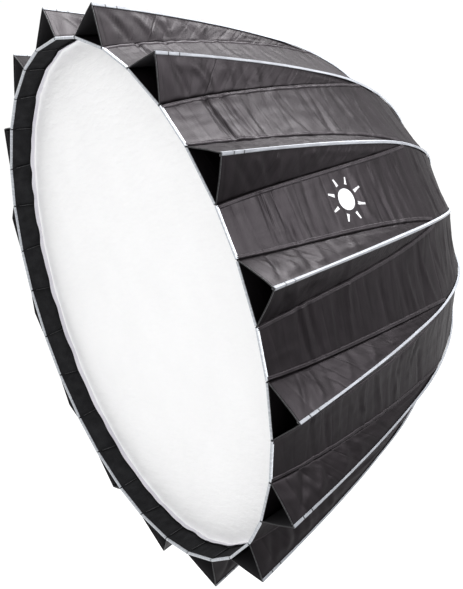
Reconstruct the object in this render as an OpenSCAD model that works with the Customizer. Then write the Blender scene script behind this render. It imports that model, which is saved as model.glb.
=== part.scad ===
// Deep sixteen-rib softbox for a studio flash head.
// The folding dome opens like an umbrella from a turning rod ring, and a three-lug
// bayonet plate holds the ring on the lamp. Sizes are in millimetres.
//
// The row frame has +Z up and the mouth of the dome towards -Y. The origin is on the
// dome's axis, in the rear face of the bayonet plate, where the lamp's front seats.
// Each piece is drawn in the dome's own frame, with its axis along +z towards the mouth,
// and dome() then lays it down.

/* [Dome] */
// Radius of the bound rim at the mouth
rim_r = 450; // [446:1:454]
// Distance from the lamp seat to the rim
rim_z = 590; // [586:1:594]
// Radius of the rib tips, which stand proud of the rim
tip_r = 505; // [502:1:508]
// How far the rib tips stay behind the rim
tip_back = 13; // [10:1:16]
// Half the width of a rib fin where it meets the rim
fin_half_w = 47.9; // [46:0.1:50]
// Thickness of the shell cloth with its lining
cloth_t = 1.2; // [1:0.1:1.4]

/* [Ribs] */
// Diameter of a spring-steel rib rod
rod_d = 4.4; // [4:0.1:4.6]
// Distance of the rod's centre inside the crest of its fin, at the tip
rod_in_tip = 6.5; // [6.2:0.1:7]
// Distance of the rod's centre inside the cloth, at the bend above the hub
rod_in_knee = 4.8; // [4.6:0.1:5.2]

/* [Hub] */
// Radius of the circle that the rib hinges stand on
hinge_r = 88; // [87:0.5:89]
// Height of the rib hinges above the lamp seat
hinge_z = 16; // [15.5:0.5:17]
// Radius of a hinge pin
pin_r = 2; // [1.8:0.1:2.2]
// Radius of the lamp opening through the bayonet plate
bore_r = 51; // [48:0.5:52]
// Outer radius of the bayonet collar
collar_r = 59; // [58:0.5:60]
// Length of the bayonet collar behind the seat
collar_len = 12; // [11:0.5:14]
// Outer radius of the rod ring
ring_r = 104; // [102:0.5:106]

/* [Diffusers] */
// Depth of the front diffuser behind the rim
recess = 42; // [40:1:45]
// Radius of the front diffuser
diffuser_r = 437; // [434:1:438]
// Distance from the lamp seat to the inner baffle
baffle_z = 330; // [320:5:340]
// Radius of the inner baffle
baffle_r = 372; // [360:1:376]
// Thickness of each diffuser with its hem
diffuser_t = 1.2; // [1:0.1:1.4]

/* [Hidden] */
$fn = 96;
rib_count = 16;
rib_step = 360 / rib_count;
ribs = [1:rib_count];
function two_digits(i) = str(i < 10 ? "0" : "", i);
function piece_name(kind, i) = str(kind, "_", two_digits(i));

// Colours
black_cloth = "#2b2a2d";
black_paint = "#1c1c1e";
steel = "#b9bcc0";
white_cloth = "#f4f5f8";
nylon = "#e8e4da";
black_plastic = "#202124";

// The crest of a fin, and the bare rib behind it, in the rib's own plane: x is the
// distance from the axis and y the height above the lamp seat.
crest_tip = [tip_r, rim_z - tip_back];
knee = [206, 57];
crest_front = [crest_tip, [405, 279], [340, 126], knee];
crest_rear = [knee, [166, 36], [134, 22], [100, 14]];
// The seam where a fin's flank meets the flat panel beside it: x is the distance from
// the axis, y the distance from the rib's plane and z the height above the seat. The
// seam runs into the crest at seam_end of the way along crest_front.
seam_end = 0.598;
fin_foot = [sqrt(rim_r * rim_r - fin_half_w * fin_half_w), fin_half_w, rim_z];
merge = bezier(crest_front, seam_end);
seam = [fin_foot, [437, 35, 485], [396, 29, 292], [merge.x, 0, merge.y]];

// Stations along the cloth
fin_steps = 10;
fin_last = 0.83;
panel_front_steps = 10;
panel_mid_steps = 4;
panel_rear_steps = 4;
seam_gap = 0.45;
fin_gap = 0.2;
ridge_gap = 0.8;

// Rod
rod_sides = 8;
rod_front_steps = 14;
rod_rear_steps = 7;
rod_tip_gap = 3;
knuckle_r = 4.2;
knuckle_w = 5;
pin_play = 0.05;

// Hub, as heights above the lamp seat and radii from the axis
boss_r = 67;
plate_top = 8;
flange_r = 76;
flange_z = 4;
lug_count = 3;
lug_r = 66;
lug_t = 3.5;
lug_angle = 34;
ring_in_r = 76.4;
lip_r = 67.6;
ring_z = 0.3;
lip_top = 2.6;
ring_top = 8.4;
glide_z = 2.7;
glide_t = 1.2;
glide_in_r = 67.9;
glide_out_r = 76.1;
clamp_z = 8.6;
clamp_t = 2.5;
clamp_in_r = 60;
clamp_out_r = 81.5;
clamp_screw_r = 79;
screw_r = 1.5;
screw_play = 0.1;
screw_head_r = 2.6;
screw_head_t = 1.8;
screw_low = 3;
ear_in = 82.5;
ear_out = 93.5;
ear_gap = 5.6;
ear_t = 2.6;
ear_top = 20.8;
pin_head_r = 3.2;
pin_head_t = 1.1;
pin_end = 0.4;
hem_in_r = 94.5;
hem_z = 8.5;
hem_t = 2;
stud_r = 2;
stud_z = 5.5;
stud_in = 76.2;
stud_out = 118;
lock_gap_no = 8;
knob_r = 7;
knob_in = 105.5;
knob_out = 121;
knob_flutes = 8;
knob_flute_r = 1.6;

// A cubic curve through the first and last of four points, at the share t of its way
function bezier(p, t) =
    pow(1 - t, 3) * p[0] + 3 * t * pow(1 - t, 2) * p[1] + 3 * t * t * (1 - t) * p[2] + pow(t, 3) * p[3];
function bezier_slope(p, t) =
    3 * pow(1 - t, 2) * (p[1] - p[0]) + 6 * t * (1 - t) * (p[2] - p[1]) + 3 * t * t * (p[3] - p[2]);
function unit(v) = v / norm(v);
// The direction into the dome, square to a curve that runs from the tip to the hub
function inward(slope) = unit([slope.y, -slope.x]);

// Lays the dome's frame down, with its mouth towards -Y
module dome() {
    rotate([90, 0, 0]) children();
}

// Puts a shape drawn along +x at rib i, or at a part of a step past it
module at_rib(i) {
    dome() rotate([0, 0, 90 - (i - 1) * rib_step]) children();
}

// A ring about the dome's axis
module ring(inner, outer, low, high) {
    rotate_extrude() translate([inner, low]) square([outer - inner, high - low]);
}

// Joins loops of points, each loop lying across the sweep, into one closed solid
module loft(loops) {
    n = len(loops[0]);
    last = len(loops) - 1;
    sides = [for (k = [0:last - 1]) for (j = [0:n - 1])
        [k * n + j, (k + 1) * n + j, (k + 1) * n + (j + 1) % n, k * n + (j + 1) % n]];
    near = [for (j = [0:n - 1]) j];
    far = [for (j = [n - 1:-1:0]) last * n + j];
    polyhedron([for (loop = loops) each loop], concat(sides, [near, far]));
}

// ---- Rib rods ----

// Centre line of a rod, from near the tip to the hinge
rod_near_tip = rod_tip_gap / norm(bezier_slope(crest_front, 0));
function rod_inset(share) = rod_in_tip + (rod_in_knee - rod_in_tip) * share;
function rod_front_point(t) =
    bezier(crest_front, t) + rod_inset(t) * inward(bezier_slope(crest_front, t));
rod_knee = rod_front_point(1);
rod_rear = [rod_knee, rod_knee - [38, 19.5], [126, 26], [hinge_r + 3, hinge_z + 0.8]];
rod_path = concat(
    [for (k = [0:rod_front_steps]) let (t = k / rod_front_steps)
        rod_front_point(rod_near_tip + (1 - rod_near_tip) * t)],
    [for (k = [1:rod_rear_steps]) bezier(rod_rear, k / rod_rear_steps)]
);
function path_slope(path, k) = path[min(k + 1, len(path) - 1)] - path[max(k - 1, 0)];
function rod_loop(k) = let (c = rod_path[k], n = inward(path_slope(rod_path, k)))
    [for (j = [0:rod_sides - 1]) let (a = (j + 0.5) * 360 / rod_sides)
        [c.x + rod_d / 2 * cos(a) * n.x, rod_d / 2 * sin(a), c.y + rod_d / 2 * cos(a) * n.y]];

// A steel rod swept along its curve, with the knuckle that turns on the hinge pin
module rod(i) {
    color(steel) at_rib(i) difference() {
        union() {
            loft([for (k = [0:len(rod_path) - 1]) rod_loop(k)]);
            translate([hinge_r, knuckle_w / 2, hinge_z]) rotate([90, 0, 0])
                cylinder(h = knuckle_w, r = knuckle_r);
        }
        translate([hinge_r, knuckle_w, hinge_z]) rotate([90, 0, 0])
            cylinder(h = 2 * knuckle_w, r = pin_r + pin_play);
    }
}

// ---- Shell cloth ----

// The fin's cross-section at the share s of its length: crest, then the two feet
function fin_corners(s) = let (
        c = bezier(crest_front, seam_end * s),
        f = bezier(seam, s),
        w = f.y - fin_gap
    )
    [[c.x, 0, c.y], [f.x, -w, f.z], [f.x, w, f.z]];
function mid(corners, weights) = (weights * corners) / (weights * [1, 1, 1]);
// The same triangle with its sides moved in by the cloth's thickness
function fin_inner(c) = let (
        sides = [norm(c[1] - c[2]), norm(c[2] - c[0]), norm(c[0] - c[1])],
        heart = mid(c, sides),
        half = (sides[0] + sides[1] + sides[2]) / 2,
        area = sqrt(half * (half - sides[0]) * (half - sides[1]) * (half - sides[2])),
        share = 1 - cloth_t * half / area
    )
    [for (p = c) heart + share * (p - heart)];

// The three-sided sleeve over a rod: two flanks and a foot strip, open at both ends
module fin(i) {
    outer = [for (k = [0:fin_steps]) fin_corners(fin_last * k / fin_steps)];
    inner = [for (c = outer) fin_inner(c)];
    color(black_cloth) at_rib(i) sleeve(outer, inner);
}

// A tube with a wall between two families of loops
module sleeve(outer, inner) {
    n = len(outer[0]);
    last = len(outer) - 1;
    shift = n * (last + 1);
    walls = [for (k = [0:last - 1]) for (j = [0:n - 1]) let (a = k * n + j, b = k * n + (j + 1) % n)
        each [
            [a, a + n, b], [b, a + n, b + n],
            [a + shift, b + shift, a + n + shift], [b + shift, b + n + shift, a + n + shift]
        ]];
    ends = [for (j = [0:n - 1]) let (a = j, b = (j + 1) % n, c = last * n + a, d = last * n + b)
        each [
            [a, b, b + shift], [a, b + shift, a + shift],
            [c, c + shift, d + shift], [c, d + shift, d]
        ]];
    points = concat([for (loop = outer) each loop], [for (loop = inner) each loop]);
    polyhedron(points, concat(walls, ends));
}

// The panel's edge beside a rib, from the rim to the hub: point, slope and half gap
function panel_edge(clear) = concat(
    [for (k = [0:panel_front_steps - 1]) let (s = k / panel_front_steps, p = bezier(seam, s),
        d = bezier_slope(seam, s)) [p, [d.x, d.z], p.y + clear]],
    [for (k = [0:panel_mid_steps]) let (t = seam_end + (1 - seam_end) * k / panel_mid_steps,
        p = bezier(crest_front, t)) [[p.x, 0, p.y], bezier_slope(crest_front, t), ridge_gap]],
    [for (k = [1:panel_rear_steps]) let (t = k / panel_rear_steps, p = bezier(crest_rear, t))
        [[p.x, 0, p.y], bezier_slope(crest_rear, t), ridge_gap]]
);
function turned(p, a) = [p.x * cos(a) - p.y * sin(a), p.x * sin(a) + p.y * cos(a), p.z];
function panel_loop(e) = let (
        n = cloth_t * inward(e[1]),
        near = [e[0].x, -e[2], e[0].z],
        far = turned([e[0].x, e[2], e[0].z], -rib_step),
        near_in = [e[0].x + n.x, -e[2], e[0].z + n.y],
        far_in = turned([e[0].x + n.x, e[2], e[0].z + n.y], -rib_step)
    )
    [near, far, far_in, near_in];

// The cloth gore between rib i and the next one
module panel(i) {
    color(black_cloth) at_rib(i) loft([for (e = panel_edge(seam_gap)) panel_loop(e)]);
}

// ---- Hub ----

// The plate that locks in the lamp: collar, three lugs, boss and flange
module bayonet_plate() {
    color(black_paint) dome() difference() {
        union() {
            ring(bore_r, boss_r, 0, plate_top);
            ring(bore_r, flange_r, flange_z, plate_top);
            ring(bore_r, collar_r, -collar_len, 0);
            for (k = [0:lug_count - 1]) rotate([0, 0, 90 + k * 360 / lug_count - lug_angle / 2])
                rotate_extrude(angle = lug_angle) translate([bore_r + 1, -collar_len])
                    square([lug_r - bore_r - 1, lug_t]);
        }
        translate([0, 0, -collar_len - 1]) cylinder(h = collar_len + plate_top + 2, r = bore_r);
    }
}

// The nylon washer that the plate's flange turns on
module glide_ring() {
    color(nylon) dome() ring(glide_in_r, glide_out_r, glide_z, glide_z + glide_t);
}

// The turning ring with a pair of ears for each rib
module rod_ring() {
    color(black_paint) dome() difference() {
        union() {
            ring(ring_in_r, ring_r, ring_z, ring_top);
            ring(lip_r, ring_r, ring_z, lip_top);
            for (i = ribs) rotate([0, 0, 90 - (i - 1) * rib_step]) ears();
        }
        for (i = ribs) rotate([0, 0, 90 - (i - 1) * rib_step]) pin_bore();
        for (g = [1:2:rib_count]) rotate([0, 0, gap_angle(g)]) translate([clamp_screw_r, 0, screw_low])
            cylinder(h = ring_top, r = screw_r);
        rotate([0, 0, gap_angle(lock_gap_no)]) translate([ring_in_r - 5, 0, stud_z]) rotate([0, 90, 0])
            cylinder(h = ring_r - ring_in_r + 10, r = stud_r + pin_play);
    }
}
// The direction half-way between rib g and the next one
function gap_angle(g) = 90 - (g - 0.5) * rib_step;

module ears() {
    for (side = [-1, 1]) translate([ear_in, side * (ear_gap + ear_t) / 2 - ear_t / 2, ring_top - 1])
        cube([ear_out - ear_in, ear_t, ear_top - ring_top + 1]);
}

module pin_bore() {
    translate([hinge_r, ear_gap, hinge_z]) rotate([90, 0, 0]) cylinder(h = 2 * ear_gap, r = pin_r);
}

// The front plate that keeps the flange in the rod ring
module clamp_plate() {
    color(black_paint) dome() difference() {
        ring(clamp_in_r, clamp_out_r, clamp_z, clamp_z + clamp_t);
        for (g = [1:2:rib_count]) rotate([0, 0, gap_angle(g)]) translate([clamp_screw_r, 0, 0])
            cylinder(h = 2 * clamp_z, r = screw_r + screw_play);
    }
}

// Eight cap screws that pull the clamp plate down on the rod ring
module plate_screws() {
    color(steel) dome() for (g = [1:2:rib_count])
        rotate([0, 0, gap_angle(g)]) translate([clamp_screw_r, 0, 0]) {
            translate([0, 0, screw_low]) cylinder(h = clamp_z + clamp_t - screw_low, r = screw_r);
            translate([0, 0, clamp_z + clamp_t]) cylinder(h = screw_head_t, r = screw_head_r);
        }
}

// Sixteen headed pins, one through each pair of ears
module hinge_pins() {
    half = ear_gap / 2 + ear_t;
    color(steel) for (i = ribs) at_rib(i) translate([hinge_r, 0, hinge_z]) rotate([90, 0, 0]) {
        translate([0, 0, -half - pin_end]) cylinder(h = 2 * half + pin_end, r = pin_r);
        translate([0, 0, half]) cylinder(h = pin_head_t, r = pin_head_r);
    }
}

// The webbing hem that the rear ends of the gores are sewn to
module rear_collar() {
    color(black_cloth) dome() ring(hem_in_r, ring_r, hem_z, hem_z + hem_t);
}

// The clamping screw whose end bears on the plate's flange
module lock_stud() {
    color(steel) dome() rotate([0, 0, gap_angle(lock_gap_no)]) translate([stud_in, 0, stud_z])
        rotate([0, 90, 0]) cylinder(h = stud_out - stud_in, r = stud_r);
}

// The fluted knob that is moulded on the stud
module lock_knob() {
    color(black_plastic) dome() rotate([0, 0, gap_angle(lock_gap_no)]) translate([knob_in, 0, stud_z])
        rotate([0, 90, 0]) difference() {
            cylinder(h = knob_out - knob_in, r = knob_r);
            for (k = [0:knob_flutes - 1]) rotate([0, 0, k * 360 / knob_flutes])
                translate([knob_r, 0, -1]) cylinder(h = knob_out - knob_in + 2, r = knob_flute_r, $fn = 24);
            translate([0, 0, -1]) cylinder(h = stud_out - knob_in + 1, r = stud_r + pin_play);
        }
}

// ---- Diffusers ----

module front_diffuser() {
    color(white_cloth) dome() translate([0, 0, rim_z - recess]) cylinder(h = diffuser_t, r = diffuser_r);
}

module inner_baffle() {
    color(white_cloth) dome() translate([0, 0, baffle_z]) cylinder(h = diffuser_t, r = baffle_r);
}

for (i = ribs) rod(i);
for (i = ribs) fin(i);
for (i = ribs) panel(i);
bayonet_plate();
glide_ring();
rod_ring();
clamp_plate();
plate_screws();
hinge_pins();
rear_collar();
lock_stud();
lock_knob();
front_diffuser();
inner_baffle();
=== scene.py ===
import math

import bmesh
import bpy
import numpy as np
from mathutils import Matrix, Vector, noise


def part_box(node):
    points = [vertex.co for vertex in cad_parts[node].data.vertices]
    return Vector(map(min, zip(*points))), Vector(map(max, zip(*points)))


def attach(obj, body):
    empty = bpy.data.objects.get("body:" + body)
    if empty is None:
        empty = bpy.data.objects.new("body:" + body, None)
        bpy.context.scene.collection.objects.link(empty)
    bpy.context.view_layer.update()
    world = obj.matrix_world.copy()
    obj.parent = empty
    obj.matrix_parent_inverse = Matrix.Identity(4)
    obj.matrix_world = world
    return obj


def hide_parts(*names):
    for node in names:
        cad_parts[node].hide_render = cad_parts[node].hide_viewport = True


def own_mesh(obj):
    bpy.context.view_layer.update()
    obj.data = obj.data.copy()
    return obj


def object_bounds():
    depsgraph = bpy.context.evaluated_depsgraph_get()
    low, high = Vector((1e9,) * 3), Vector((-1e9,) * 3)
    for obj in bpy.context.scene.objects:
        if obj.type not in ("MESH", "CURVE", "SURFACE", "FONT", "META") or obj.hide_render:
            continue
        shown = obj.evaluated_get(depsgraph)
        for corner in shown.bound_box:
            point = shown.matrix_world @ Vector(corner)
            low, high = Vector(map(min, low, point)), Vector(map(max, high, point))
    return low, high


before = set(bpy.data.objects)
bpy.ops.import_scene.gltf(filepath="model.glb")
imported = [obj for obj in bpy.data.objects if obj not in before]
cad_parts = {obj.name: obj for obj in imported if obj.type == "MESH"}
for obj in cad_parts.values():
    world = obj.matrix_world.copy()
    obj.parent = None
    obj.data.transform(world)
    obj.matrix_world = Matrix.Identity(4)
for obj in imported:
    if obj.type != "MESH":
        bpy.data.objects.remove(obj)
cad_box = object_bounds()

# ---- Studio: camera, floor and lights ----
# The dome hangs in a white studio, with no lamp or stand. The camera stands to the right
# of the mouth and is rolled, so that the dome leans.
scene = bpy.context.scene
scene.view_settings.view_transform = "Standard"
scene.view_settings.gamma = 0.8
rim_z = -cad_box[0][1]
mouth = Vector((0, -rim_z, 0))
camera = bpy.data.objects.new("camera", bpy.data.cameras.new("camera"))
scene.collection.objects.link(camera)
scene.camera = camera
camera.data.lens = 81.9
camera_place = mouth + Vector((2.074, -0.823, 0.175))
camera_heading = math.radians(63.8)
camera_dip = math.radians(5.34)
camera_roll = math.radians(-16.3)
turn = Matrix.Rotation(camera_heading, 4, "Z") @ Matrix.Rotation(math.pi / 2 - camera_dip, 4, "X")
turn = turn @ Matrix.Rotation(camera_roll, 4, "Z")
camera.matrix_world = Matrix.Translation(camera_place) @ turn


class Value:
    """A socket's output that takes part in Python expressions, each adding its Math node."""

    def __init__(self, finish, socket):
        self.finish = finish
        self.socket = socket

    def maths(self, operation, *values):
        return self.finish.node("ShaderNodeMath", {"operation": operation}, dict(enumerate(values)))

    def __add__(self, other):
        return self.maths("ADD", self, other)

    def __sub__(self, other):
        return self.maths("SUBTRACT", self, other)

    def __rsub__(self, other):
        return self.maths("SUBTRACT", other, self)

    def __mul__(self, other):
        return self.maths("MULTIPLY", self, other)

    def __truediv__(self, other):
        return self.maths("DIVIDE", self, other)

    __radd__ = __add__
    __rmul__ = __mul__


class Finish:
    """A material on one Principled shader, with a short way to add the nodes that feed it."""

    def __init__(self, name, **constants):
        self.material = bpy.data.materials.new(name)
        self.material.use_nodes = True
        self.tree = self.material.node_tree
        self.shader = self.tree.nodes["Principled BSDF"]
        for socket, value in constants.items():
            self.shader.inputs[socket.replace("_", " ").title().replace("Ior", "IOR")].default_value = value

    def node(self, kind, settings, values, output=0):
        """Any node: its type, its settings, then the values or links of its sockets."""
        made = self.tree.nodes.new(kind)
        for key, value in settings.items():
            setattr(made, key, value)
        for key, value in values.items():
            self.feed(made.inputs[key], value)
        return Value(self, made.outputs[output])

    def feed(self, socket, value):
        if isinstance(value, Value):
            self.tree.links.new(value.socket, socket)
        else:
            socket.default_value = value

    def drive(self, **values):
        for socket, value in values.items():
            self.feed(self.shader.inputs[socket.replace("_", " ").title()], value)
        return self.material

    def mix(self, share, first, second):
        """A colour between two others."""
        settings = {"data_type": "RGBA"}
        return self.node("ShaderNodeMix", settings, {0: share, 6: first, 7: second}, output=2)

    def bump(self, height, distance, strength=1.0, over=None):
        """A relief of the given height, on top of another if over is given."""
        values = {"Height": height, "Distance": distance, "Strength": strength}
        if over:
            values["Normal"] = over
        return self.node("ShaderNodeBump", {}, values)

    def noise(self, vector, scale, detail=3.0, rough=0.5):
        values = {"Vector": vector, "Scale": scale, "Detail": detail, "Roughness": rough}
        return self.node("ShaderNodeTexNoise", {}, values)

    def smooth(self, value, low, high):
        """0 below low, 1 above high."""
        settings = {"interpolation_type": "SMOOTHSTEP"}
        return self.node("ShaderNodeMapRange", settings, {0: value, 1: low, 2: high})

    def cloth_uv(self):
        """The cloth's own metres as a vector, then along the rib and across it."""
        uv = self.node("ShaderNodeUVMap", {"uv_map": "cloth"}, {})
        along = self.node("ShaderNodeSeparateXYZ", {}, {0: uv}, output=0)
        across = self.node("ShaderNodeSeparateXYZ", {}, {0: uv}, output=1)
        return uv, along, across

    def place(self):
        return self.node("ShaderNodeTexCoord", {}, {}, output=3)

    def stretched(self, vector, scale):
        settings = {"vector_type": "POINT"}
        return self.node("ShaderNodeMapping", settings, {"Vector": vector, "Scale": scale})


floor_z = -0.68
bm = bmesh.new()
bmesh.ops.create_circle(bm, cap_ends=True, segments=64, radius=60)
bmesh.ops.translate(bm, verts=bm.verts, vec=(0, 0, floor_z))
floor = bpy.data.objects.new("floor", bpy.data.meshes.new("floor"))
bm.to_mesh(floor.data)
bm.free()
scene.collection.objects.link(floor)
paint = Finish("floor_paint", base_color=(0.12, 0.12, 0.12, 1), roughness=0.9)
paint.feed(paint.shader.inputs["Emission Color"], (1, 1, 1, 1))
paint.feed(paint.shader.inputs["Emission Strength"], 0.88)
floor.data.materials.append(paint.material)

scene.world = bpy.data.worlds.new("studio")
scene.world.use_nodes = True
scene.world.node_tree.nodes["Background"].inputs[0].default_value = (1.0, 1.0, 1.0, 1)
scene.world.node_tree.nodes["Background"].inputs[1].default_value = 1.02


def soft_light(name, place, aim, size, power):
    lamp = bpy.data.objects.new(name, bpy.data.lights.new(name, "AREA"))
    lamp.data.shape = "RECTANGLE"
    lamp.data.size = size[0]
    lamp.data.size_y = size[1]
    lamp.data.energy = power
    lamp.location = place
    lamp.rotation_euler = (Vector(aim) - Vector(place)).to_track_quat("-Z", "Y").to_euler()
    scene.collection.objects.link(lamp)


soft_light("overhead", (0.3, 0.75, 2.2), (0, -0.3, 0), (1.8, 1.6), 165)
soft_light("side", (1.8, 0.75, 0.6), (0, -0.3, 0.1), (1.3, 1.0), 70)

# ---- Rib lines ----
# Sixteen bowed ribs carry the dome. Each rib's crest and the seams beside its fin are
# smooth curves in metres, drawn in the rib's own frame: x out from the dome's axis, y
# square to the rib's plane and z forward from the lamp seat.
rib_count = 16
step = 2 * math.pi / rib_count
ribs = range(1, rib_count + 1)
rim_r = 0.450
fin_half = 0.0479
knee = (0.206, 0, 0.057)
crest_front = [(0.505, 0, 0.577), (0.405, 0, 0.279), (0.340, 0, 0.126), knee]
crest_rear = [knee, (0.166, 0, 0.036), (0.134, 0, 0.022), (0.100, 0, 0.014)]
seam_end = 0.598


def bezier(points, t):
    """Points on a cubic curve, one row for each share t of its way."""
    t = np.atleast_1d(t)[:, None]
    p = np.array(points, float)
    return (1 - t) ** 3 * p[0] + 3 * t * (1 - t) ** 2 * p[1] + 3 * t * t * (1 - t) * p[2] + t**3 * p[3]


seam_foot = (math.sqrt(rim_r**2 - fin_half**2), fin_half, rim_z)
seam_line = [seam_foot, (0.437, 0.035, 0.485), (0.396, 0.029, 0.292), tuple(bezier(crest_front, seam_end)[0])]


class Line:
    """A run of curves as one line that is measured along its own length."""

    def __init__(self, *runs):
        points = np.concatenate([bezier(curve, np.linspace(a, b, 160)) for curve, a, b in runs])
        gaps = np.linalg.norm(np.diff(points, axis=0), axis=1)
        keep = np.concatenate([[True], gaps > 1e-9])
        self.points = points[keep]
        self.lengths = np.concatenate([[0], np.cumsum(gaps[keep[1:]])])
        self.length = self.lengths[-1]

    def at(self, distance):
        return np.stack([np.interp(distance, self.lengths, self.points[:, k]) for k in range(3)], -1)

    def slope(self, distance):
        ahead = self.at(np.clip(distance + 1e-3, 0, self.length))
        return unit(ahead - self.at(np.clip(distance - 1e-3, 0, self.length)))


def unit(vectors):
    return vectors / np.maximum(np.linalg.norm(vectors, axis=-1, keepdims=True), 1e-12)


def inward(slopes):
    """Square to a line that runs from the mouth to the hub, towards the inside of the dome."""
    return unit(np.stack([slopes[:, 2], 0 * slopes[:, 0], -slopes[:, 0]], -1))


crest = Line((crest_front, 0, 1), (crest_rear, 0, 1))
seam = Line((seam_line, 0, 1))
gore_edge = Line((seam_line, 0, 1), (crest_front, seam_end, 1), (crest_rear, 0, 1))
crest_to_merge = Line((crest_front, 0, seam_end)).length


def turned(points, angle):
    c, s = math.cos(angle), math.sin(angle)
    x, y, z = points[:, 0], points[:, 1], points[:, 2]
    return np.stack([x * c - y * s, x * s + y * c, z], -1)


def rib_angle(i):
    return math.pi / 2 - (i - 1) * step


def rib_place(i):
    """Takes rib i's own frame to the row frame."""
    return Matrix.Rotation(math.pi / 2, 4, "X") @ Matrix.Rotation(rib_angle(i), 4, "Z")


def rib_name(kind, i):
    return f"{kind}_{i:02d}"


def side_axis(i):
    """Square to rib i's plane, in the row frame."""
    return rib_place(i).to_3x3() @ Vector((0, 1, 0))


def grid(bm, along, across, shape, material=0, way=(1, 0, 0)):
    """Adds a cloth grid: shape(s, t) gives the places and the cloth's own metres. Its faces
    look along way, or away from its middle if way is None."""
    layer = bm.loops.layers.uv.get("cloth") or bm.loops.layers.uv.new("cloth")
    made = bmesh.ops.create_grid(bm, x_segments=along, y_segments=across, size=0.5)["verts"]
    share = np.array([v.co[:2] for v in made]) + 0.5
    places, metres = shape(share[:, 0], share[:, 1])
    uv = {}
    for vert, place, metre in zip(made, places, metres):
        vert.co = place
        uv[vert] = metre
    faces = list({face for vert in made for face in vert.link_faces})
    bmesh.ops.recalc_face_normals(bm, faces=faces)
    middle = Vector(np.mean(places, axis=0))
    facing = 0
    for face in faces:
        face.material_index = material
        face.smooth = True
        for loop in face.loops:
            loop[layer].uv = uv[loop.vert]
        looks = face.calc_center_median() - middle if way is None else Vector(way)
        facing += face.normal.dot(looks) * face.calc_area()
    if facing < 0:
        bmesh.ops.reverse_faces(bm, faces=faces)


def piece(name, bm, i, *materials, wall=0.0, offset=-1.0, back=0, rim=True, body=None):
    """Turns a bmesh drawn in rib i's frame into an object that rides on its body."""
    if i:
        bmesh.ops.transform(bm, matrix=rib_place(i), verts=bm.verts)
    made = bpy.data.objects.new(name, bpy.data.meshes.new(name))
    bm.to_mesh(made.data)
    bm.free()
    for material in materials:
        made.data.materials.append(material)
    scene.collection.objects.link(made)
    if wall:
        shell = made.modifiers.new("wall", "SOLIDIFY")
        shell.thickness = wall
        shell.offset = offset
        shell.material_offset = back
        shell.use_quality_normals = True
        shell.use_rim = rim
    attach(made, body or rib_name("rib", i))
    return made


# ---- Wrinkles ----
# Sewn nylon isn't flat: the thread gathers it along the seams, the stretched ribs pull
# folds across it, and the slack near the mouth falls into deeper creases.


def ridged(along, across, seed, wave, slant=0.0):
    """Soft folds that run across the cloth, one about every wave metres."""
    values = [noise.noise(Vector((a / wave + slant * c, c * 2.0, seed))) for a, c in zip(along, across)]
    values = np.array(values)
    return 1 - 2 * np.sqrt(values * values + 0.004)


def crease(x, y, start, end, width):
    """A fold along a straight line from start to end, sharper on one side."""
    start, end = np.array(start), np.array(end)
    way = end - start
    share = np.clip(((x - start[0]) * way[0] + (y - start[1]) * way[1]) / (way @ way), 0, 1)
    off_x = x - start[0] - share * way[0]
    off_y = y - start[1] - share * way[1]
    away = np.hypot(off_x, off_y)
    side = np.sign(way[0] * off_y - way[1] * off_x)
    fade = np.sin(np.pi * np.clip(share * 0.9 + 0.05, 0, 1)) ** 0.5
    return fade * np.exp(-((away / width) ** 2)) * (1 + 0.6 * side * away / width)


def gore_wrinkles(i, along, across, width):
    """How far the panel's cloth stands out, in metres: along from the rim, across -1 to 1."""
    rng = np.random.default_rng(100 + i)
    side = across * width / 2
    edge = np.exp(-(width / 2 - abs(side)) / 0.017)
    tied = np.clip((width / 2 - abs(side)) / 0.006, 0, 1)
    front = np.exp(-along / 0.16)
    height = 0.0013 * edge * ridged(along, across, 3.1 * i, 0.022, 0.4)
    height += (0.0005 + 0.0006 * front) * ridged(along, across, 7.7 * i, 0.06, 0.5)
    height += 0.00045 * ridged(along, across, 9.2 * i, 0.019, 0.3)
    for _ in range(15):
        middle = rng.uniform(0.14, 0.58)
        lean = rng.uniform(-0.012, 0.016)
        reach = rng.uniform(0.45, 1.0) * 0.07
        centre = rng.uniform(-0.025, 0.025)
        depth = rng.uniform(0.0009, 0.0021) * rng.choice((-1, 1))
        fold = crease(along, side, (middle - lean, centre - reach), (middle + lean, centre + reach), 0.0034)
        height += depth * fold
    for middle, depth in ((0.074, -0.0030), (0.086, 0.0016), (0.112, -0.0022), (0.135, 0.0012)):
        middle = middle + rng.uniform(-0.009, 0.009)
        lean = rng.uniform(0.002, 0.016)
        fold = crease(along, side, (middle - lean, -0.085), (middle + lean, 0.085), 0.0040)
        height += depth * rng.uniform(0.7, 1.4) * fold
    start = np.clip(along / 0.02, 0, 1)
    return height * tied * start - 0.002 * (1 - across**2) * start


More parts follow.
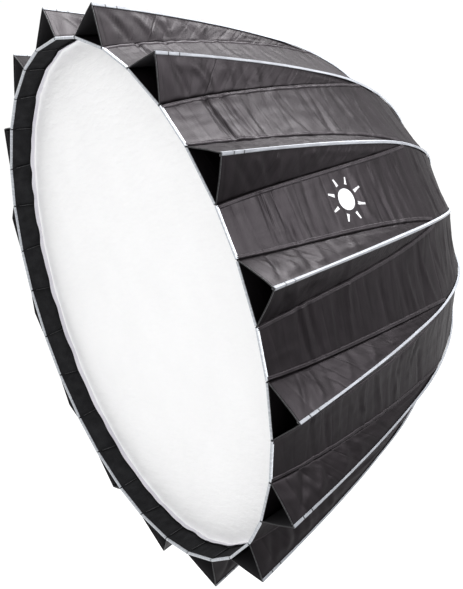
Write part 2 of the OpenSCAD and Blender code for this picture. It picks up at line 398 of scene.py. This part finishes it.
def fin_wrinkles(i, along, up, reach, side):
    """How far a fin's flank stands out: along from its mouth, up -1 or 1 at the foot, 0 at the crest."""
    rng = np.random.default_rng(500 + 2 * i + (side > 0))
    high = (1 - abs(up)) * reach
    foot = np.exp(-high / 0.014)
    tied = np.clip(high / 0.004, 0, 1) * np.clip((reach - high - 0.007) / 0.012, 0, 1)
    middle = np.sin(np.pi * np.clip(abs(up), 0, 1))
    height = 0.0017 * foot * ridged(along, up, 5.3 * i + side, 0.022, 0.3)
    height += 0.0013 * middle * ridged(along, up, 2.9 * i + side, 0.05, 1.2)
    height += 0.0005 * middle * ridged(along, up, 6.1 * i + side, 0.017, 0.8)
    height += rng.uniform(0.0005, 0.003) * middle * np.exp(-along / 0.13)
    for k in range(6):
        top = 0.016 + 0.026 * k + rng.uniform(-0.008, 0.008)
        low = top + rng.uniform(0.03, 0.062)
        depth = rng.uniform(0.0017, 0.0036) * (1 if k % 2 else -1) * 0.87**k
        height += depth * crease(along, high, (top, 0.066), (low, 0.003), rng.uniform(0.0035, 0.006))
    height -= 0.0006 * np.exp(-(((along - 0.066) / 0.0015) ** 2))
    taut = 0.3 + 0.7 * np.clip(along / 0.03, 0, 1)
    return height * tied * taut


# ---- Shell panels ----
# Each gore is black satin nylon bonded to a silver lining. It runs from the rim to the
# hub between two ribs and carries on under the fin beside it as a foot strip.
panel_along = 168
panel_across = 26
strip_across = 12
nylon_t = 0.0006
nylon_cord = 0.0021


def panel_surface(i, s, t, wrinkled=True):
    """Places on the panel between rib i and the next: s metres from the rim, t from 0 to 1 across."""
    edge = gore_edge.at(s)
    near = edge * (1, -1, 1)
    far = turned(edge, -step)
    width = np.linalg.norm(far - near, axis=1)
    base = near + (far - near) * t[:, None]
    out = -turned(inward(gore_edge.slope(s) * (1, 0, 1)), -step / 2)
    across = 2 * t - 1
    if wrinkled:
        base = base + out * gore_wrinkles(i, s, across, width)[:, None]
    return base, out, across * width / 2


def strip_surface(s, t):
    """Places on the strip under a fin, s metres from the rim, t from 0 to 1 across."""
    edge = seam.at(s)
    out = -inward(seam.slope(s) * (1, 0, 1))
    return edge * np.stack([0 * t + 1, 1 - 2 * t, 0 * t + 1], -1), out, (2 * t - 1) * edge[:, 1]


def nylon(name, colour, lit):
    """Satin nylon: fine cross cords, uneven threads, a faint cloudiness, painted sheen streaks and pressed
    folds.
    """
    cloth = Finish(name, roughness=0.5)
    cloth.shader.inputs["Specular IOR Level"].default_value = 0.23
    cloth.shader.inputs["Specular Tint"].default_value = (1.0, 0.92, 0.985, 1)
    uv, along, _ = cloth.cloth_uv()
    cords = along * 2 * math.pi / nylon_cord
    cords = cords.maths("SINE", cords)
    cloud = cloth.noise(cloth.stretched(uv, (14, 5, 1)), 1.0, 4.0)
    # Painted sheen: stretched streaks across the cloth, some lighter and some darker, stand in for the
    # satin's shifting sheen.
    sheen_streak = cloth.noise(cloth.stretched(uv, (75, 7, 1)), 1.0, 3.0)
    slub = cloth.noise(cloth.stretched(uv, (900, 60, 1)), 1.0, 2.0)
    fold = cloth.noise(cloth.stretched(uv, (27, 4, 1)), 1.0, 1.5, 0.6) - 0.5
    crisp = cloth.smooth(fold.maths("ABSOLUTE", fold), 0.0, 0.06)
    press = cloth.bump(crisp * cloud, 0.0013, 0.5)
    # The base colour mixes random cloudiness and slubs with the painted sheen streaks.
    colour_share = cloth.smooth(cloud * 0.3 + sheen_streak * 0.5 + slub * 0.2, 0.36, 0.64)
    tone = cloth.mix(colour_share, (*colour, 1), (*lit, 1))
    weave = cords * 0.5 + slub * 0.8
    grain = cloth.bump(weave, 0.00012, 0.55, press)
    return cloth.drive(base_color=tone, roughness=sheen_streak * 0.3 + 0.33, normal=grain)


shell_nylon = nylon("black_satin_nylon", (0.0050, 0.0040, 0.0046), (0.0112, 0.0092, 0.0106))
# The fins' inner faces are a coated back, painted far lighter than the nylon's face as fill light in the
# shaded fin insides.
reverse = Finish("coated_reverse_painted_fill", base_color=(0.05, 0.048, 0.052, 1), roughness=0.7)
coating = reverse.noise(reverse.place(), 900.0, 3.0)
reverse.drive(normal=reverse.bump(coating, 0.0002))
lining = Finish("silver_lining", base_color=(0.62, 0.63, 0.65, 1), metallic=0.75, roughness=0.42)
crinkle = lining.noise(lining.place(), 160.0, 4.0)
lining.drive(normal=lining.bump(crinkle, 0.0006), roughness=crinkle * 0.2 + 0.32)

gore_trims = {i: [] for i in ribs}
for i in ribs:
    bm = bmesh.new()

    def panel_shape(s, t, i=i):
        places, _, across = panel_surface(i, s * gore_edge.length, t)
        return places, np.stack([s * gore_edge.length, across], -1)

    def strip_shape(s, t):
        places, _, across = strip_surface(s * seam.length, t)
        return places, np.stack([s * seam.length, across], -1)

    grid(bm, panel_along, panel_across, panel_shape)
    grid(bm, 100, strip_across, strip_shape)
    bmesh.ops.remove_doubles(bm, verts=bm.verts, dist=1e-5)
    gore = piece(rib_name("gore", i), bm, i, shell_nylon, lining.material, wall=nylon_t, back=1)
    side_axis(i)
    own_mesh(gore)
    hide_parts(rib_name("panel", i))

# ---- Fins ----
# A fin is a bent strip of the same nylon, sewn down on both sides of the rib so that
# the rod bows it into a ridge. Its mouth is left open and bound with narrow piping.
fin_along = 104
fin_across = 32
crest_round = 0.05
fin_stop = 0.985


def fin_surface(i, s, t):
    """Places on a fin: s from 0 at its mouth to 1 where it dies into the rib, t from -1 to 1."""
    foot = bezier(seam_line, s)
    ridge = bezier(crest_front, seam_end * s)
    side = np.where(t > 0, 1.0, -1.0)
    foot = foot * np.stack([0 * t + 1, side, 0 * t + 1], -1)
    flat = np.sqrt(t * t + crest_round**2) - crest_round
    down = flat / (math.sqrt(1 + crest_round**2) - crest_round)
    base = ridge + (foot - ridge) * down[:, None]
    reach = np.linalg.norm(foot - ridge, axis=1)
    tangent = ridge - bezier(crest_front, np.clip(seam_end * s + 0.01, 0, 1))
    out = unit(np.cross(foot - ridge, tangent)) * side[:, None]
    out = out * np.where((out[:, :1] < 0), -1, 1)
    along = s * seam.length
    lift = np.where(side > 0, fin_wrinkles(i, along, t, reach, 1), fin_wrinkles(i, along, t, reach, -1))
    return base + out * lift[:, None], out, along, t * reach


fin_trims = {i: [] for i in ribs}
for i in ribs:
    bm = bmesh.new()

    def fin_shape(s, t, i=i):
        places, _, along, across = fin_surface(i, s * fin_stop, 2 * t - 1)
        return places, np.stack([along, across + 0.5], -1)

    grid(bm, fin_along, fin_across, fin_shape)
    fin = piece(rib_name("fin_cloth", i), bm, i, shell_nylon, reverse.material, wall=nylon_t, back=1)
    side_axis(i)
    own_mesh(fin)
    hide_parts(rib_name("fin", i))

# ---- Fin mouth piping ----
# A narrow strip of grey piping folded over the raw front edge of each fin.
piping_w = 0.0011
piping_legs = [(piping_w, 0.0002), (piping_w, 0.0006), (0, 0.0007), (-0.0004, 0.0003), (-0.0004, -0.0008),
               (0, -0.0012), (piping_w, -0.0011), (piping_w, -0.0007)]
tack_half = 0.0007
tack_colour = (0.02, 0.02, 0.022, 1)
centre_half = 0.0003


def edge_fold(surface, s, legs):
    """Places of a folded tape on a cloth edge. legs gives, for each share s of the tape's
    way round the edge, how far behind the edge it lies and how far it stands off the cloth."""
    shares = np.linspace(0, 1, len(legs))
    behind = np.interp(s, shares, [leg[0] for leg in legs])
    off = np.interp(s, shares, [leg[1] for leg in legs])
    base, out, across = surface(np.maximum(behind, 0))
    ahead, _, _ = surface(np.full_like(behind, 0.002))
    edge, _, _ = surface(np.zeros_like(behind))
    forward = unit(edge - ahead)
    places = base + out * off[:, None] + forward * np.maximum(-behind, 0)[:, None]
    return places, np.stack([behind, across], -1)


def woven_tape(name, colour, lit, pitch, centre=None, tacks=()):
    """Narrow woven tape: fine cross ribs and a little soil. centre is the colour of a fold
    line down its middle, and tacks are the places of dark bar tacks along it."""
    tape = Finish(name, roughness=0.62, sheen_weight=0.15, sheen_roughness=0.4)
    uv, along, across = tape.cloth_uv()
    cords = along * 2 * math.pi / pitch
    cords = cords.maths("SINE", cords)
    cloud = tape.noise(tape.stretched(uv, (40, 180, 1)), 1.0, 3.0)
    tone = tape.mix(tape.smooth(cloud, 0.35, 0.7), (*colour, 1), (*lit, 1))
    if centre:
        off_centre = tape.smooth(across.maths("ABSOLUTE", across), centre_half, centre_half * 3)
        tone = tape.mix(off_centre, (*centre, 1), tone)
    for tack in tacks:
        away = (along - tack).maths("ABSOLUTE", along - tack)
        tone = tape.mix(tape.smooth(away, tack_half, tack_half * 1.6), tack_colour, tone)
    return tape.drive(base_color=tone, roughness=cloud * 0.2 + 0.5, normal=tape.bump(cords, 0.00015, 0.6))


grey_piping = woven_tape("grey_piping", (0.020, 0.020, 0.022), (0.050, 0.050, 0.053), 0.0012)

for i in ribs:
    bm = bmesh.new()

    def piping_shape(s, t, i=i):
        def mouth(behind):
            places, out, _, across = fin_surface(i, behind / seam.length, 2 * t - 1)
            return places, out, across

        return edge_fold(mouth, s, piping_legs)

    grid(bm, 14, 40, piping_shape, way=None)
    piping = piece(rib_name("fin_piping", i), bm, i, grey_piping)
    side_axis(i)
    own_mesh(piping)
    fin_trims[i].append(piping)

# ---- Seam welts ----
# Beside each fin the seam allowance is turned under and topstitched, which leaves a
# raised welt along both edges of every panel.
welt_w = 0.0074
welt_profile = [-0.0004, 0.0016, 0.0019, 0.0013, 0.0016, 0.0013, -0.0005]
# The welts' nylon is the shell's nylon painted lighter: a painted highlight along each raised welt.
welt_nylon_painted_highlight = nylon("welt_nylon_painted_highlight", (0.017, 0.015, 0.0165), (0.027, 0.024, 0.0265))

for i in ribs:
    bm = bmesh.new()
    for edge_side in (0, 1):

        def welt_shape(s, t, i=i, edge_side=edge_side):
            along = s * (seam.length - 0.004) + 0.001
            near = gore_edge.at(along) * (1, -1, 1)
            width = np.linalg.norm(turned(gore_edge.at(along), -step) - near, axis=1)
            share = (0.0004 + t * welt_w) / width
            places, out, _ = panel_surface(i, along, 1 - share if edge_side else share)
            waves = np.array([noise.noise(Vector((a / 0.017, 4.0 * i + edge_side, 0.5))) for a in along])
            lift = np.interp(t, np.linspace(0, 1, len(welt_profile)), welt_profile)
            lift = lift * (1 + 0.5 * waves)
            return places + out * lift[:, None], np.stack([along, t * welt_w], -1)

        grid(bm, 150, 12, welt_shape)
    welt = piece(rib_name("welt", i), bm, i, welt_nylon_painted_highlight)
    side_axis(i)
    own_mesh(welt)
    gore_trims[i].append(welt)

# ---- Crest tapes ----
# Pale reflective tape runs over each rib from tip to hub: along the fin's crest, then on
# the channel that holds the rod where the fin has died away. Two bar tacks cross it near
# the tip, and its front end is tucked over the tip.
tape_half_tip = 0.0068
tape_half = 0.0050
tape_lift = 0.0013
channel_lift = 0.0038
tape_tuck = 0.0025
tape_round = 0.2
tape_t = 0.0006
tape_cord = 0.0016
merge_start = 0.7
merge_share = 0.25
channel_droop = 0.68
channel_fade = 0.03
bar_tacks = (0.024, 0.044)
fold_line = (0.10, 0.104, 0.115)
crest_finish = woven_tape("pale_crest_tape", (0.19, 0.197, 0.215), (0.25, 0.26, 0.28), tape_cord, fold_line,
                          bar_tacks)


def crest_frame(u):
    """The crest at u metres from the tip: place, outward direction, the way down each side, and
    the share of the way to where the fin has died away and the tape stands on the rod's channel."""
    u = np.clip(u, 0, crest.length)
    ridge = crest.at(u)
    out = -inward(crest.slope(u))
    foot = bezier(seam_line, np.clip(u / crest_to_merge, 0, 1))
    on_fin = unit(foot - ridge + np.array([0, 1e-5, 0]))
    far = turned(ridge, step)
    on_shell = unit(unit(far - ridge) - out * channel_droop)
    share = np.clip((u / crest_to_merge - merge_start) / merge_share, 0, 1)[:, None]
    share = share * share * (3 - 2 * share)
    return ridge, out, unit(on_fin * (1 - share) + on_shell * share), share


def crest_shape(s, t):
    """Places on the tape: s from its tucked front end to the hub, t across it."""
    u = -tape_tuck + (crest.length - 0.002 + tape_tuck) * s
    q = 2 * t - 1
    ridge, out, down, merged = crest_frame(u)
    side = np.stack([0 * q + 1, np.where(q > 0, 1.0, -1.0), 0 * q + 1], -1)
    half = tape_half_tip + (tape_half - tape_half_tip) * np.clip(u / 0.1, 0, 1)
    flat = np.sqrt(q * q + tape_round**2) - tape_round
    end = np.clip((crest.length - u) / channel_fade, 0, 1)[:, None]
    lift = tape_lift + (channel_lift - tape_lift) * merged * end
    places = ridge + out * lift + down * side * (flat * half)[:, None]
    over = np.maximum(-u, 0)[:, None]
    return places - crest.slope(u) * over, np.stack([u, q * half], -1)


for i in ribs:
    bm = bmesh.new()
    grid(bm, 150, 8, crest_shape)
    tape = piece(rib_name("crest_tape", i), bm, i, crest_finish, wall=tape_t)
    fin_trims[i].append(tape)

# ---- Rim binding ----
# Pale tape is folded over the front edge of every panel. Under a fin its outer leg is
# narrower, so that little more than the fold shows from outside.
binding_w = 0.0029
strip_binding_w = 0.0010
pale_tape = woven_tape("pale_grosgrain_tape", (0.47, 0.49, 0.52), (0.61, 0.63, 0.66), tape_cord)
panel_legs = [(binding_w, 0.0002), (binding_w, 0.0012), (0, 0.0014), (-0.0012, 0.0004), (-0.0012, -0.0020),
              (0, -0.0034), (binding_w, -0.0032), (binding_w, -0.0022)]
strip_legs = [(strip_binding_w, 0.0002), (strip_binding_w, 0.0012), *panel_legs[2:]]

for i in ribs:
    bm = bmesh.new()

    def panel_binding(s, t, i=i):
        return edge_fold(lambda behind: panel_surface(i, behind, 0.014 + 0.972 * t), s, panel_legs)

    def strip_binding(s, t):
        return edge_fold(lambda behind: strip_surface(behind, 0.02 + 0.96 * t), s, strip_legs)

    grid(bm, 14, 16, panel_binding, way=None)
    grid(bm, 14, 10, strip_binding, way=None)
    binding = piece(rib_name("rim_binding", i), bm, i, pale_tape)
    side_axis(i)
    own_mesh(binding)
    gore_trims[i].append(binding)

# ---- Loop band ----
# A band of black loop tape is sewn round the inside of the rim, and the diffuser's hook
# tape grips its rear edge. Grey thread crosses it wherever a seam meets the rim.
band_depth = 0.0395
band_t = 0.0012
band_sink = 0.0009
thread_sink = 0.0029
thread_w = 0.012
thread_places = (0.003, 0.985)
thread_start = 0.010
thread_length = band_depth - 0.012
loop_pile = Finish("black_loop_tape", roughness=0.95)
loop_pile.shader.inputs["Specular IOR Level"].default_value = 0.08
fuzz = loop_pile.noise(loop_pile.place(), 1400.0, 3.0, 0.7)
cloudy = loop_pile.noise(loop_pile.place(), 60.0, 3.0)
seam_thread = woven_tape("grey_thread", (0.045, 0.045, 0.048), (0.11, 0.11, 0.115), 0.0012)
pile_tone = loop_pile.mix(loop_pile.smooth(fuzz * 0.6 + cloudy * 0.4, 0.35, 0.65), (0.028, 0.028, 0.030, 1),
                          (0.052, 0.052, 0.055, 1))
loop_pile.drive(base_color=pile_tone, normal=loop_pile.bump(fuzz, 0.0008))


def sunk(surface, depth):
    """A surface moved towards the inside of the dome."""
    def moved(s, t):
        places, out, across = surface(s, t)
        return places - out * depth, across

    return moved


for i in ribs:
    bm = bmesh.new()
    for surface, columns in ((lambda s, t, i=i: panel_surface(i, s, t), 26), (strip_surface, 8)):

        def band_shape(s, t, surface=surface):
            places, across = sunk(surface, band_sink)(0.001 + s * band_depth, t)
            return places, np.stack([s * band_depth, across], -1)

        grid(bm, 16, columns, band_shape)

    bmesh.ops.remove_doubles(bm, verts=bm.verts, dist=1e-5)
    for corner in thread_places:

        def thread_shape(s, t, corner=corner):
            along = thread_start + s * thread_length
            places, across = sunk(strip_surface, thread_sink)(along, corner + thread_w * t)
            return places, np.stack([across, s * band_depth], -1)

        grid(bm, 10, 1, thread_shape, 1)
    band = piece(rib_name("loop_band", i), bm, i, loop_pile.material, seam_thread, wall=band_t)
    side_axis(i)
    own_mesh(band)
    gore_trims[i].append(band)

# ---- Front diffuser ----
# One white sheet, hemmed with hook tape that turns forwards onto the loop band. It is
# made here as sixteen sectors.
diffuser_z = rim_z - 0.0455
sheet_t = 0.0004
diffuser_gap = 0.0052
diffuser_slack = 0.0018
hem_start = 0.9
hem_rise = 0.0075
hem_round = 0.0018
hem_wave = 0.035
hook_lift = 0.0022
hook_from = 0.42


def dome_inside(height, angle, clear):
    """Radius of the inside of the shell at a height above the seat, at an angle from a rib."""
    along = np.interp(-height, -gore_edge.points[:, 2], gore_edge.lengths)
    edge = gore_edge.at(along)
    corner = math.atan2(edge[1], edge[0])
    away = (angle + step / 2) % step - step / 2
    flat_fin = edge[0] / np.cos(away)
    middle = step / 2
    reach = math.hypot(edge[0], edge[1]) * math.cos(middle - corner)
    flat_panel = reach / np.cos(middle - abs(away))
    return np.where(abs(away) < corner, flat_fin, flat_panel) - clear


def white_sheet(name, colour, lit):
    """Matt white diffusing cloth with a fine plain weave, a little crumpled."""
    cloth = Finish(name, roughness=0.8, sheen_weight=0.1, sheen_roughness=0.5)
    uv, _, _ = cloth.cloth_uv()
    threads = cloth.noise(cloth.stretched(uv, (700, 700, 1)), 1.0, 2.0)
    cloud = cloth.noise(cloth.place(), 9.0, 3.0)
    crumple = cloth.noise(cloth.stretched(uv, (24, 70, 1)), 1.0, 4.0, 0.6)
    tone = cloth.mix(cloth.smooth(cloud * 0.8 + threads * 0.2, 0.3, 0.7), (*colour, 1), (*lit, 1))
    relief = cloth.bump(threads, 0.0001, 0.5, cloth.bump(crumple, 0.004, 0.6))
    return cloth.drive(base_color=tone, normal=relief)


diffuser_cloth = white_sheet("white_diffusion_cloth", (0.910, 0.910, 0.915), (0.930, 0.930, 0.935))
# The hook tape is white. Its violet grey, darker than the sheet, is painted shade on the hem band.
hook_tape = white_sheet("pale_hook_tape", (0.68, 0.67, 0.72), (0.80, 0.79, 0.83))


def cloth_waves(places, size):
    """Shallow slack folds, one field over the whole sheet so that the sectors meet."""
    heights = []
    for x, y, _ in places:
        pull = noise.noise(Vector((x * 2.3 + y * 1.1, y * 2.1, 3.3)))
        folds = noise.noise(Vector((x * 5.5 + y * 7.0 + 2 * pull, (y * 1.6 - x * 1.9), 8.1)))
        fine = noise.noise(Vector((x * 26 + y * 9 + 2 * pull, y * 17 - x * 8, 1.7)))
        heights.append(pull * 0.9 + (1 - abs(folds) * 2.2) * 0.9 + fine * 0.22)
    return np.array(heights) * size


def diffuser_sector(i):
    """A sector of a flat round sheet, with its hem turned forwards."""
    def shape(s, t):
        angle = (t - 0.5) * step
        reach = dome_inside(diffuser_z, angle, diffuser_gap)
        r = (reach - hem_round) * np.clip(s / hem_start, 0, 1)
        x, y = r * np.cos(angle), r * np.sin(angle)
        lean = np.clip((s - hem_start) / (1 - hem_start), 0, 1)
        curl = np.minimum(lean * 3, 1) * math.pi / 2
        r = r + hem_round * np.sin(curl)
        up = hem_round * (1 - np.cos(curl)) + np.maximum(lean - 1 / 3, 0) * 1.5 * hem_rise
        places = np.stack([r * np.cos(angle), r * np.sin(angle), diffuser_z + up], -1)
        here = turned(np.stack([x, y, 0 * x], -1), rib_angle(i))
        calm = np.clip((reach - r) / 0.03, 0, 1)
        places[:, 2] += cloth_waves(here, diffuser_slack) * calm
        ripple = np.array([noise.noise(Vector((x, y, 5.0)) / hem_wave) for x, y, _ in here])
        places[:, 2] += ripple * 0.003 * lean
        places[:, :2] *= (1 - 0.003 * abs(ripple) * lean)[:, None]
        return places, here[:, :2] + np.stack([up, up], -1)

    return shape


for i in ribs:
    bm = bmesh.new()
    grid(bm, 80, 28, diffuser_sector(i), way=(0, 0, 1))
    for face in bm.faces:
        height = sum(v.co.z for v in face.verts) / 4
        if height > diffuser_z + hook_lift and face.calc_center_median().xy.length > hook_from:
            face.material_index = 1
    bmesh.ops.remove_doubles(bm, verts=bm.verts, dist=1e-6)
    sheet = piece(rib_name("front_diffuser", i), bm, i, diffuser_cloth, hook_tape, wall=sheet_t, rim=False,
                  body="speed_ring")
    outward = rib_place(i).to_3x3() @ Vector((1, 0, 0))
    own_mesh(sheet)
    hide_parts("front_diffuser")

# ---- Inner baffle ----
# A smaller white sheet half-way down the dome spreads the lamp's hot spot. It is in
# sectors like the diffuser, and the loops that hang it are left out.
_, baffle_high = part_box("inner_baffle")
baffle_z = -baffle_high[1]
baffle_r = baffle_high[0]
baffle_scallop = 0.035
baffle_slack = 0.003
baffle_lip = 0.002

for i in ribs:
    bm = bmesh.new()

    def baffle_shape(s, t, i=i):
        angle = (t - 0.5) * step
        r = baffle_r * s * (1 - baffle_scallop * np.cos(angle * math.pi / step) ** 2 * s)
        places = np.stack([r * np.cos(angle), r * np.sin(angle), 0 * r + baffle_z], -1)
        here = turned(places, rib_angle(i))
        places[:, 2] += cloth_waves(here, baffle_slack) + baffle_lip * (s > 0.97)
        return places, here[:, :2]

    grid(bm, 40, 14, baffle_shape, way=(0, 0, 1))
    sheet = piece(rib_name("inner_baffle", i), bm, i, diffuser_cloth, wall=sheet_t, rim=False,
                  body="speed_ring")
    outward = rib_place(i).to_3x3() @ Vector((1, 0, 0))
    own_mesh(sheet)
    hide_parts("inner_baffle")

# ---- Printed mark ----
# One panel carries a mark in white ink. Here it is a plain sun: a disc and eight rays.
mark_panel = 4
mark_along = 0.235
disc_r = 0.017
ray_from = 0.0235
ray_to = 0.036
ray_half = 0.0028
ray_count = 8
ink_lift = 0.0003

ink = Finish("white_ink", roughness=0.6)
worn = ink.noise(ink.place(), 1300.0, 3.0)
ink_tone = ink.mix(ink.smooth(worn, 0.3, 0.6), (0.27, 0.27, 0.28, 1), (0.36, 0.36, 0.37, 1))
ink.drive(base_color=ink_tone, normal=ink.bump(worn, 0.0002))


def on_panel(x, y):
    """Printed places on the mark's panel, x metres along it from the mark's middle and y across."""
    along = mark_along + x
    near = gore_edge.at(along) * (1, -1, 1)
    width = np.linalg.norm(turned(gore_edge.at(along), -step) - near, axis=1)
    places, out, _ = panel_surface(mark_panel, along, 0.5 + y / width)
    return places + out * ink_lift, np.stack([x, y], -1)


def disc_shape(s, t):
    angle = t * 2 * math.pi
    return on_panel(disc_r * s * np.cos(angle), disc_r * s * np.sin(angle))


bm = bmesh.new()
grid(bm, 8, 48, disc_shape)
for k in range(ray_count):
    angle = (k + 0.5) * 2 * math.pi / ray_count

    def ray_shape(s, t, c=math.cos(angle), d=math.sin(angle)):
        r = ray_from + (ray_to - ray_from) * s
        off = (2 * t - 1) * ray_half * (1 - 0.5 * s)
        return on_panel(r * c - off * d, r * d + off * c)

    grid(bm, 6, 3, ray_shape)
bmesh.ops.remove_doubles(bm, verts=bm.verts, dist=1e-6)
mark = piece("printed_mark", bm, mark_panel, ink.material)
side_axis(mark_panel)
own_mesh(mark)
gore_trims[mark_panel].append(mark)

for i in ribs:
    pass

# ---- Rear hem ----
# Folded webbing binds the shell's rear opening. It lies flat on the ring of ribs, and its
# outer edge turns up over the ends of the panels.
_, hem_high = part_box("rear_collar")
hem_outer = hem_high[0]
hem_inner = 0.0945
hem_front = -hem_high[1]
hem_lip = 0.0150
hem_wall = 0.0012
hem_profile = [(hem_inner, hem_front), (hem_outer, hem_front), (hem_outer, hem_lip),
               (hem_outer - hem_wall, hem_lip), (hem_outer - hem_wall, hem_front + hem_wall),
               (hem_inner, hem_front + hem_wall), (hem_inner, hem_front)]
webbing = woven_tape("black_webbing", (0.010, 0.010, 0.011), (0.020, 0.020, 0.022), 0.0013)


def hem_shape(s, t):
    shares = np.linspace(0, 1, len(hem_profile))
    r = np.interp(t, shares, [corner[0] for corner in hem_profile])
    z = np.interp(t, shares, [corner[1] for corner in hem_profile])
    angle = s * 2 * math.pi
    return np.stack([r * np.cos(angle), r * np.sin(angle), z], -1), np.stack([angle * hem_outer, r + z], -1)


bm = bmesh.new()
grid(bm, 128, 18, hem_shape, way=None)
bmesh.ops.remove_doubles(bm, verts=bm.verts, dist=1e-5)
hem = piece("rear_hem", bm, 1, webbing, body="speed_ring")
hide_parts("rear_collar")

# ---- Hub, rods and lock ----
# These keep their machined shapes. The hub is powder-coated aluminium, the rods are drawn
# steel, the screws and pins are bright steel, and the glide ring and knob are moulded.


def solid(name, colour, lit, low, high, grain, depth, metallic=0.0):
    """A hard surface: a slightly uneven tone, roughness from low to high and a fine grain."""
    surface = Finish(name, metallic=metallic)
    place = surface.place()
    fine = surface.noise(place, grain, 3.0)
    broad = surface.noise(place, 26.0, 4.0, 0.6)
    tone = surface.mix(surface.smooth(broad * 0.7 + fine * 0.3, 0.35, 0.68), (*colour, 1), (*lit, 1))
    rough = broad * (high - low) + low
    return surface.drive(base_color=tone, roughness=rough, normal=surface.bump(fine, depth, 0.5))


powder_coat = solid("black_powder_coat", (0.012, 0.012, 0.013), (0.024, 0.024, 0.026), 0.36, 0.58, 1500.0,
                    0.0002)
drawn_steel = solid("drawn_steel", (0.10, 0.10, 0.105), (0.16, 0.16, 0.165), 0.3, 0.5, 700.0, 0.00005, 0.9)
bright_steel = solid("bright_steel", (0.52, 0.52, 0.53), (0.66, 0.66, 0.67), 0.18, 0.38, 900.0, 0.00003, 1.0)
moulded_nylon = solid("moulded_nylon", (0.60, 0.59, 0.55), (0.70, 0.69, 0.65), 0.42, 0.6, 600.0, 0.0001)
knob_plastic = solid("black_knob_plastic", (0.014, 0.014, 0.015), (0.026, 0.026, 0.028), 0.45, 0.65, 2200.0,
                     0.00025)
finishes = {"bayonet_plate": powder_coat, "rod_ring": powder_coat, "clamp_plate": powder_coat,
            "glide_ring": moulded_nylon, "plate_screws": bright_steel, "hinge_pins": bright_steel,
            "lock_stud": bright_steel, "lock_knob": knob_plastic}
finishes |= {rib_name("rod", i): drawn_steel for i in ribs}
for node, finish in finishes.items():
    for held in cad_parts[node].material_slots:
        held.material = finish
